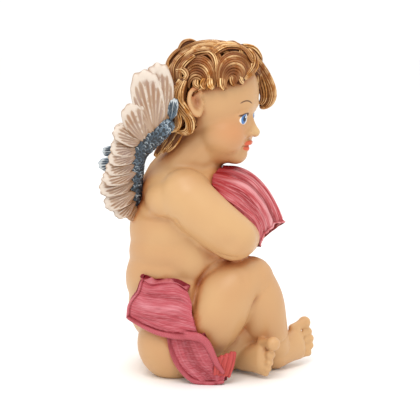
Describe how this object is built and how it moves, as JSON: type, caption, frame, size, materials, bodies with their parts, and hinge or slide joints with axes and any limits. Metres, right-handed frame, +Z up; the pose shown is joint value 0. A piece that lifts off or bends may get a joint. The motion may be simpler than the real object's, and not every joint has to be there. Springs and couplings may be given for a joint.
{
  "type": "guardian angel statue",
  "caption": "Seated painted-resin cherub with curly hair, two feathered wings, folded arms over drawn-up knees and cloth drapes at the arms and hip.",
  "frame": {"origin": "on the flat underside, under the pelvis, on the figure's middle line", "axes": "+Z up, -Y the way the figure faces, -X towards its right hand"},
  "size_m": [0.0703, 0.0992, 0.1501],
  "materials": {
    "painted_resin": "hand-painted cast resin with a satin sheen: skin, golden-brown hair, cream feathers with slate-blue wing arms, pearly pink-red drapes"
  },
  "bodies": {
    "root": {"guardian_angel": "painted_resin"}
  },
  "joints": []
}
